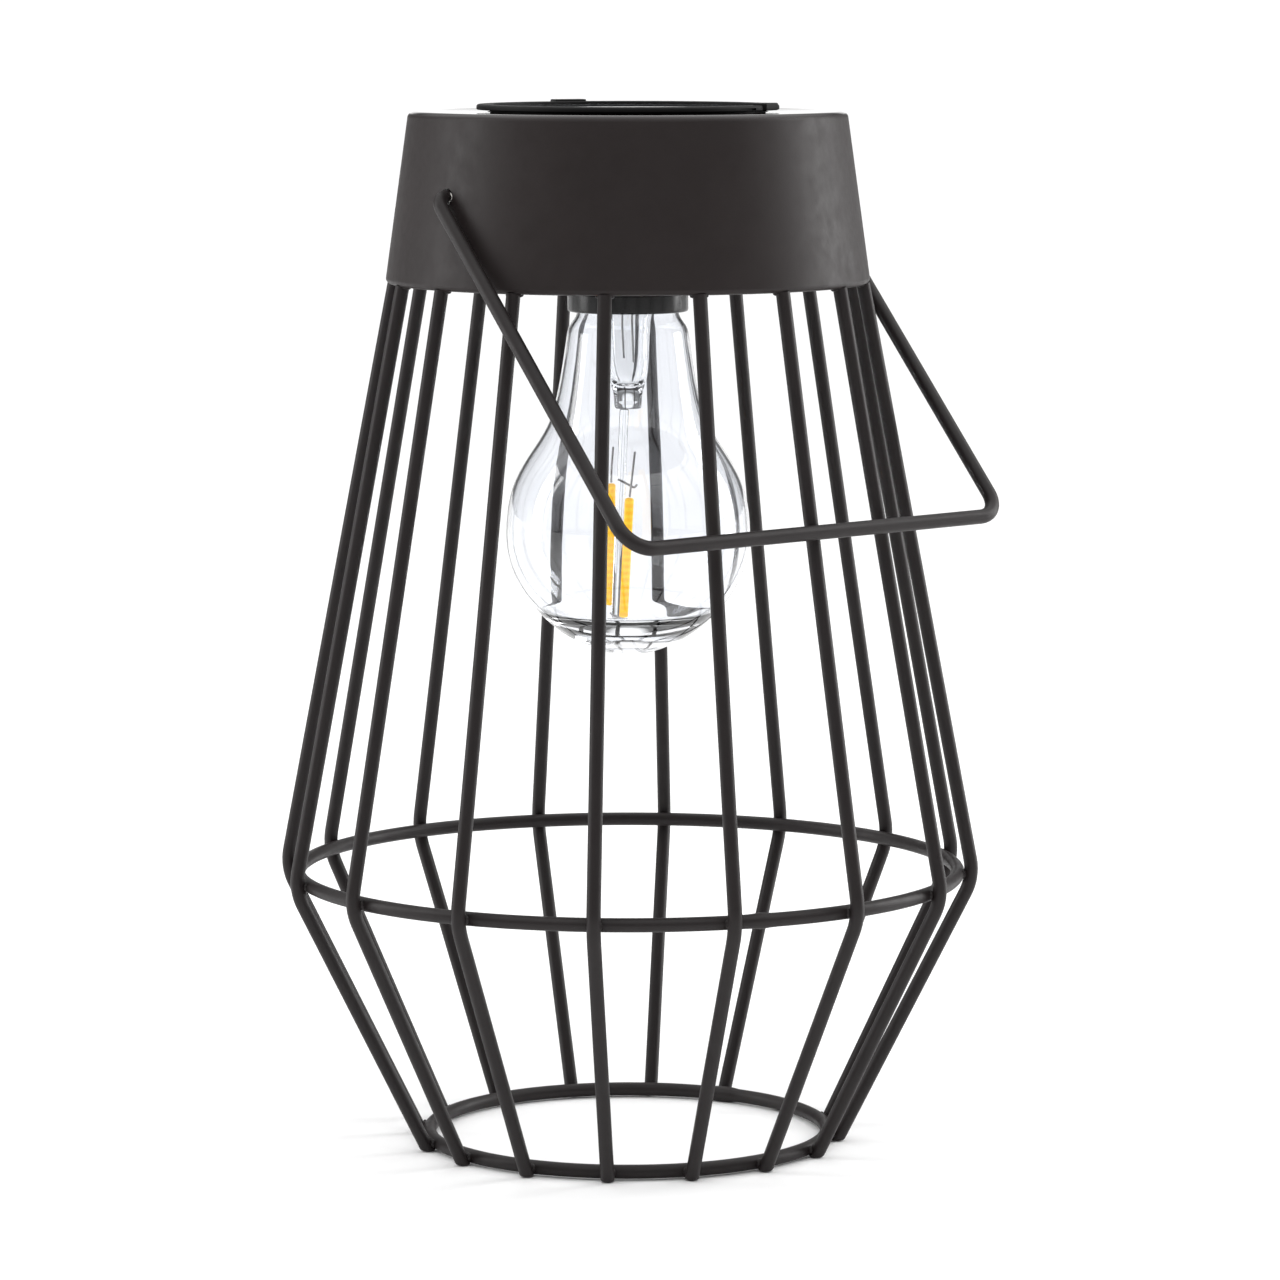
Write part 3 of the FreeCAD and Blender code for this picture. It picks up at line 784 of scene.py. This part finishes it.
# %% Bail
OUT = Vector((0, 0, 1)).cross(SIDE)
if OUT.y > 0:
    OUT = -OUT
DROP = OUT * sin(radians(BAIL_LEAN)) - Vector((0, 0, 1)) * cos(radians(BAIL_LEAN))
PIVOT = Vector((0, 0, BAIL_Z))
bail = bent_wire(
    "bail",
    [PIVOT + SIDE * BAIL_STUB_R, PIVOT + SIDE * BAIL_ARM_R,
     PIVOT + SIDE * (BAIL_SKEW + BAIL_BAR_R) + DROP * (BAIL_DEPTH + BAIL_RACK),
     PIVOT + SIDE * (BAIL_SKEW - BAIL_BAR_R) + DROP * (BAIL_DEPTH - BAIL_RACK),
     PIVOT - SIDE * BAIL_ARM_R, PIVOT - SIDE * BAIL_STUB_R],
    (BAIL_EAR_BEND, BAIL_BAR_BEND, BAIL_BAR_BEND, BAIL_EAR_BEND), BAIL_D, sides=24, steps=10)
bail.data.materials.clear()
bail.data.materials.append(WIRE_COAT)
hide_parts("bail_handle")
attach(bail, "bail")
print("bail faces:", len(bail.data.polygons))

# %% [markdown]
# ## The solar bezel
# The bezel is a moulded ring that rests on the cap. It is turned on the lathe as one closed line: a rounded
# rim, a recess for the cells, and a skirt that drops through the cap's opening. Two small finger lugs stand
# on the rim, and one narrow slot in its edge takes a fingernail to lift the unit out.

# %% Bezel ring
BEZEL_LOW = 253.3 * MM
BEZEL_TOP = 254.6 * MM
LUG_TOP = 255.1 * MM
RECESS_Z = 252.6 * MM
PLATE_LOW = 251.3 * MM
BEZEL_R, RECESS_R, CABLE_HOLE_R = 36.7 * MM, 32.7 * MM, 2.5 * MM
SKIRT_R, SKIRT_BORE_R, SKIRT_LOW = 33.4 * MM, 31.6 * MM, 247.0 * MM
bezel = lathe("bezel", [
    (SKIRT_BORE_R, PLATE_LOW), (SKIRT_BORE_R, SKIRT_LOW), (SKIRT_R, SKIRT_LOW), (SKIRT_R, BEZEL_LOW),
    (BEZEL_R, BEZEL_LOW), (BEZEL_R, BEZEL_TOP), (RECESS_R, BEZEL_TOP), (RECESS_R, RECESS_Z),
    (CABLE_HOLE_R, RECESS_Z), (CABLE_HOLE_R, PLATE_LOW)],
    ((4, 0.25 * MM), (5, 0.6 * MM), (6, 0.35 * MM)), steps=160)

# %% Finger lugs, the lifting slot and the screw bosses
SLOT_AZ = 52.0
LUG_AZ, LUG_R = (69.0, 204.8), 35.4 * MM
deselect()
bpy.ops.mesh.primitive_cube_add(size=1.0, location=at_azimuth(BEZEL_R, SLOT_AZ, BEZEL_LOW + 0.5 * MM),
                                rotation=(0, 0, radians(SLOT_AZ)), scale=(6.0 * MM, 1.4 * MM, 0.5 * MM))
slot_bar = bpy.context.object
apply_modifier(bezel, "BOOLEAN", operation="DIFFERENCE", object=slot_bar, solver="EXACT")
bpy.data.objects.remove(slot_bar, do_unlink=True)
lug_parts = []
for azimuth in LUG_AZ:
    deselect()
    middle = at_azimuth(LUG_R, azimuth, (BEZEL_LOW + LUG_TOP) / 2)
    bpy.ops.mesh.primitive_cube_add(size=1.0, location=middle, rotation=(0, 0, radians(azimuth)),
                                    scale=(8.3 * MM, 3.6 * MM, LUG_TOP - BEZEL_LOW))
    lug = bpy.context.object
    bpy.ops.object.transform_apply(scale=True)
    bpy.ops.object.mode_set(mode="EDIT")
    bpy.ops.mesh.select_all(action="SELECT")
    bpy.ops.mesh.bevel(offset=0.3 * MM, segments=4)
    bpy.ops.object.mode_set(mode="OBJECT")
    only(lug)
    bpy.ops.object.transform_apply(location=True, rotation=True, scale=True)
    lug_parts.append(lug)
for azimuth in (60.0, 180.0, 300.0):
    boss = lathe("boss", in_mm((0.85, 238.2), (2.6, 238.2), (2.6, 251.4), (0.85, 251.4)), steps=32)
    boss.location = at_azimuth(28.0 * MM, azimuth)
    only(boss)
    bpy.ops.object.transform_apply(location=True)
    lug_parts.append(boss)
bezel = join([bezel] + lug_parts, "bezel")
finish_piece(bezel, 34.0)
bezel.data.materials.clear()
bezel.data.materials.append(BEZEL_PLASTIC)
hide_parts("solar_bezel")
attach(bezel, "light_unit")
print("bezel faces:", len(bezel.data.polygons))

# %% [markdown]
# Clear resin is poured over the cells and sets level, with an eased edge. The lathe makes the disc.

# %% Resin cover
cover = lathe("resin_cover", in_mm((0, 253.6), (32.4, 253.6), (32.4, 253.85), (32.2, 253.95), (0, 253.95)),
              closed=False)
finish_piece(cover, 50.0)
cover.data.materials.append(RESIN)
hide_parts("solar_cover")
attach(cover, "light_unit")

# %% [markdown]
# ## The lamp collar
# The collar is a polished moulding that grips the bulb's neck. Its lower rim is rounded and a fine groove
# runs round it a little higher up.

# %% Lamp collar
collar = lathe("collar", in_mm(
    (12.5, 219.0), (12.5, 204.4), (14.7, 204.4), (14.7, 208.6), (14.35, 208.8), (14.35, 209.2),
    (14.7, 209.4), (14.7, 223.95), (9.8, 223.95), (9.8, 227.5), (2.5, 227.5), (2.5, 219.0)),
    ((1, 0.3 * MM), (2, 0.6 * MM)))
finish_piece(collar, 34.0)
collar.data.materials.append(GLOSS_PLASTIC)
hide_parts("lamp_collar")
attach(collar, "light_unit")

# %% [markdown]
# ## The bulb
# The bulb is blown: its outer line is one smooth curve from the tip to the neck, and its inner line follows
# it at the thickness of the wall, down to a thick bottom where the glass gathered and set as a shallow
# dish. Both lines are drawn with a few points as one closed outline, spun, and rounded by a Subdivision
# Surface, so that no ring shows in the reflections.

# %% Bulb glass
GLASS_WALL = 0.8
OUTER = ((0.0, 120.3), (4.2, 120.6), (8.6, 121.75), (15.0, 124.9), (20.6, 129.2), (25.2, 134.6),
         (28.2, 140.4), (29.7, 145.6), (30.05, 150.6), (29.4, 158.2), (27.1, 165.2), (22.5, 171.9),
         (18.9, 177.6), (17.0, 185.0), (15.7, 193.0), (15.1, 197.4), (14.8, 199.6), (14.2, 201.3),
         (12.8, 202.9), (12.2, 204.6), (12.2, 209.0), (12.2, 214.0))
DISH = ((21.7, 131.7), (20.9, 130.9), (16.0, 129.2), (10.0, 127.6), (5.0, 126.85), (0.0, 126.6))
inner = []
for before, (radius, height), after in zip(OUTER[4:-2], OUTER[5:-1], OUTER[6:]):
    dr, dz = after[0] - before[0], after[1] - before[1]
    size = sqrt(dr * dr + dz * dz)
    inner.append((radius - GLASS_WALL * dz / size, height + GLASS_WALL * dr / size))
inner.append((OUTER[-1][0] - GLASS_WALL, OUTER[-1][1]))
outline = list(OUTER) + inner[::-1] + list(DISH)
bulb = lathe("bulb", in_mm(*outline), steps=64, closed=False)
apply_modifier(bulb, "SUBSURF", levels=2, render_levels=2)
finish_piece(bulb, 60.0)
bulb.data.materials.append(BULB_GLASS)
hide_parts("bulb_glass")
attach(bulb, "light_unit")
print("bulb faces:", len(bulb.data.polygons))

# %% [markdown]
# Inside the neck a glass tube flares out to the neck's wall, and its lower end is pinched flat round the
# lead wires. The pinch is squeezed narrower one way, as the jaws leave it.

# %% Glass stem
stem = lathe("stem", in_mm(
    (0, 180.5), (3.0, 180.5), (3.4, 181.0), (3.4, 185.3), (5.2, 188.0), (5.2, 203.0), (7.0, 207.0),
    (11.2, 211.4), (11.2, 212.6), (10.2, 212.6), (6.0, 208.0), (4.4, 203.5), (4.4, 188.6), (2.6, 186.3),
    (0, 186.3)),
    steps=40, closed=False)
edit(stem)
pick(stem, "verts", lambda p: p.z < 0.1855)
bpy.ops.transform.resize(value=(1.0, 0.72, 1.0), center_override=(0, 0, 0.183))
bpy.ops.object.mode_set(mode="OBJECT")
apply_modifier(stem, "SUBSURF", levels=2, render_levels=2)
finish_piece(stem, 60.0)
stem.data.materials.append(STEM_GLASS)
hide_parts("glass_stem")
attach(stem, "light_unit")

# %% [markdown]
# The filaments hang from the stem on a thin glass rod with a small button at its foot. The rod leans a
# little, as the hand that sealed it left it, and thin hooks cross it at the filaments' upper ends.

# %% Glass rod and button
rod = bent_wire("rod", in_mm((-0.9, 0, 180.45), (-1.9, 0, 156), (-3.0, 0, 129.0)), (40 * MM,), 2.2 * MM,
                ease=0.3 * MM, steps=4)
rod.data.materials.clear()
rod.data.materials.append(STEM_GLASS)
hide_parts("glass_rod")
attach(rod, "light_unit")
button = lathe("rod_button", in_mm(
    (0, 128.2), (2.2, 128.2), (2.6, 128.45), (2.6, 128.7), (2.2, 128.95), (0, 128.95)), steps=32, closed=False)
button.location = (-2.6 * MM, -0.3 * MM, 0)
finish_piece(button, 50.0)
button.data.materials.append(STEM_GLASS)
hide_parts("rod_foot")
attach(button, "light_unit")

# %% [markdown]
# Each filament is a slim round strip with softly bevelled ends. Its lead wires, and the hooks that cross
# it, come next.

# %% LED filaments
FILAMENTS = (((0.4, -2.4, 159.0), (-1.1, -2.8, 129.6)), ((-4.1, 1.7, 162.2), (-4.6, 1.7, 132.4)))
for number, (top, bottom) in enumerate(FILAMENTS, start=1):
    top, bottom = Vector(top) * MM, Vector(bottom) * MM
    axis = (bottom - top).normalized()
    deselect()
    bpy.ops.mesh.primitive_cylinder_add(
        vertices=24, radius=1.08 * MM, depth=(bottom - top).length, location=(top + bottom) / 2,
        rotation=axis.to_track_quat("Z", "Y").to_euler())
    strip = bpy.context.object
    strip.name = "filament_%d" % number
    strip.data.name = strip.name
    bpy.ops.object.mode_set(mode="EDIT")
    bpy.ops.mesh.select_all(action="DESELECT")
    bpy.ops.mesh.select_mode(type="FACE")
    bpy.ops.mesh.select_face_by_sides(number=4, type="GREATER")
    bpy.ops.mesh.bevel(offset=0.6 * MM, segments=4)
    bpy.ops.object.mode_set(mode="OBJECT")
    finish_piece(strip, 50.0)
    strip.data.materials.append(PHOSPHOR_PAINTED_GLOW)
    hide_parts("led_filament_%d" % number)
    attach(strip, "light_unit")

# %% Lead wires and hooks
LEAD_D = 0.55 * MM
LEADS = (
    ("lead_1", [(1.9, -0.6, 180.4), (1.7, -1.4, 170.0), (0.9, -2.2, 163.0), (0.4, -2.4, 159.2)], "lead_wire_1"),
    ("lead_2", [(-2.7, 0.6, 180.4), (-3.6, 1.2, 171.0), (-4.0, 1.6, 166.0), (-4.1, 1.7, 162.4)], "lead_wire_2"),
    ("stem_lead_1", [(1.3, -0.9, 186.5), (1.4, -0.8, 192.0), (1.0, -0.6, 202.0), (1.2, -0.4, 211.0)], None),
    ("stem_lead_2", [(-1.2, 0.7, 186.5), (-1.0, 0.9, 193.0), (-1.4, 0.8, 201.0), (-1.2, 0.6, 211.0)], None),
    ("hook_1", [(-5.0, -0.8, 165.2), (-2.4, -1.3, 163.4), (1.6, -1.6, 161.4), (2.2, -2.0, 162.2)], None),
    ("hook_2", [(-4.5, 1.7, 132.0), (-4.2, 0.8, 130.2), (-2.4, -1.2, 129.4), (-1.1, -2.7, 129.5)], None))
for name, route, node_name in LEADS:
    bends = (1.2 * MM, 1.2 * MM) if node_name else (0.6 * MM, 0.4 * MM)
    lead = bent_wire(name, [Vector(p) * MM for p in route], bends, LEAD_D, sides=10, ease=0.0, steps=4)
    lead.data.materials.clear()
    lead.data.materials.append(LEAD_METAL)
    if node_name:
        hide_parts(node_name)
    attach(lead, "light_unit")
print("filaments and leads done")

# %% [markdown]
# ## Parts that keep their engineering shape
# The battery, boards, screws and housing are hidden in the cap, and their engineering shapes are already
# right. They only need their finishes.

# %% Finishes for the kept parts
KEPT = {
    "housing_cup": SATIN_PLASTIC, "switch_body": SATIN_PLASTIC, "board_post": SATIN_PLASTIC,
    "switch_slider": GLOSS_PLASTIC, "solar_board": BOARD_BLACK, "circuit_board": BOARD_GREEN,
    "circuit_chip": CHIP_PLASTIC, "circuit_coil": CHIP_PLASTIC,
    "battery_cell": SLEEVE, "battery_contact": NICKEL, "battery_spring": NICKEL,
    "solar_cell_1": CELL, "solar_cell_2": CELL, "solar_cell_3": CELL, "solar_cell_4": CELL,
    "housing_screw_1": NICKEL, "housing_screw_2": NICKEL, "housing_screw_3": NICKEL}
for node_name, finish in KEPT.items():
    part = nodes[node_name]
    for slot_number in range(max(len(part.material_slots), 1)):
        if part.material_slots:
            part.material_slots[slot_number].material = finish
        else:
            part.data.materials.append(finish)
print("kept parts with finishes:", len(KEPT))

# %% [markdown]
# ## Floor, light and camera
# A plain pale floor runs away to nothing. The light is soft and comes mostly from overhead, with a lit
# sweep behind and two tall soft boxes at the sides; the rest of the room is dim, so the black coat keeps
# its dark edges. What the camera sees directly behind the lantern is always the pale sweep, from any side.
# The camera stands a little above the lantern on a long lens.

# %% Floor
deselect()
bpy.ops.mesh.primitive_plane_add(size=1200.0, location=(0, 0, -0.0002))
floor = bpy.context.object
floor.name = "floor"
pale, tree, shader = new_finish("pale_floor", Roughness=0.9)
shader.inputs["Specular IOR Level"].default_value = 0.1
tone = object_noise(tree, 0.6, 2.0)
near_white = ramp(tree, tone.outputs["Fac"], (0.93, 0.93, 0.93), (0.95, 0.95, 0.95))
tree.links.new(near_white, shader.inputs["Base Color"])
floor.data.materials.append(pale)

# %% Room light
ROOM_LOW, ROOM_HIGH, SWEEP = 0.15, 1.62, 1.1
world = bpy.data.worlds.new("studio")
bpy.context.scene.world = world
world.use_nodes = True
tree = world.node_tree
tree.nodes["Background"].inputs["Color"].default_value = (1, 1, 1, 1)
direction = add_node(tree, "ShaderNodeTexCoord")
split = add_node(tree, "ShaderNodeSeparateXYZ")
upwards = {"From Min": 0.3, "From Max": 0.8, "To Min": ROOM_LOW, "To Max": ROOM_HIGH}
backwards = {"From Min": 0.95, "From Max": 0.985, "To Min": 0.0, "To Max": SWEEP}
overhead = add_node(tree, "ShaderNodeMapRange", **upwards)
behind = add_node(tree, "ShaderNodeMapRange", **backwards)
both = add_node(tree, "ShaderNodeMath", operation="ADD")
tree.links.new(direction.outputs["Generated"], split.inputs["Vector"])
tree.links.new(split.outputs["Z"], overhead.inputs["Value"])
tree.links.new(split.outputs["Y"], behind.inputs["Value"])
tree.links.new(overhead.outputs["Result"], both.inputs[0])
tree.links.new(behind.outputs["Result"], both.inputs[1])
seen = add_node(tree, "ShaderNodeLightPath")
paper = add_node(tree, "ShaderNodeMath", operation="MULTIPLY")
paper.inputs[1].default_value = SWEEP
brighter = add_node(tree, "ShaderNodeMath", operation="MAXIMUM")
tree.links.new(seen.outputs["Is Camera Ray"], paper.inputs[0])
tree.links.new(both.outputs["Value"], brighter.inputs[0])
tree.links.new(paper.outputs["Value"], brighter.inputs[1])
tree.links.new(brighter.outputs["Value"], tree.nodes["Background"].inputs["Strength"])


# %% Soft boxes
def soft_box(name, place, aim, width, height, power):
    """A rectangular soft light that looks at a point."""
    deselect()
    bpy.ops.object.light_add(type="AREA", location=place)
    lamp = bpy.context.object
    lamp.name = name
    lamp.data.shape = "RECTANGLE"
    lamp.data.size = width
    lamp.data.size_y = height
    lamp.data.energy = power
    lamp.rotation_euler = (Vector(aim) - Vector(place)).to_track_quat("-Z", "Y").to_euler()
    return lamp


soft_box("left_box", (-1.5, 0.1, 0.5), (0, 0, 0.15), 0.5, 1.4, 11.0)
soft_box("right_box", (1.39, 0.56, 0.5), (0, 0, 0.15), 0.6, 1.4, 17.0)

# %% Camera
LOOK_DOWN = 6.87
deselect()
bpy.ops.object.camera_add(location=(2.94 * MM, -1.3231, 0.2832))
camera = bpy.context.object
camera.data.lens = 152.9
camera.data.sensor_width = 36.0
camera.data.dof.use_dof = False
look_down = Matrix.Rotation(radians(90 - LOOK_DOWN), 4, "X")
camera.matrix_world = Matrix.Translation(camera.location) @ look_down
bpy.context.scene.camera = camera
bpy.context.scene.view_settings.view_transform = "Standard"
bpy.context.scene.view_settings.look = "None"
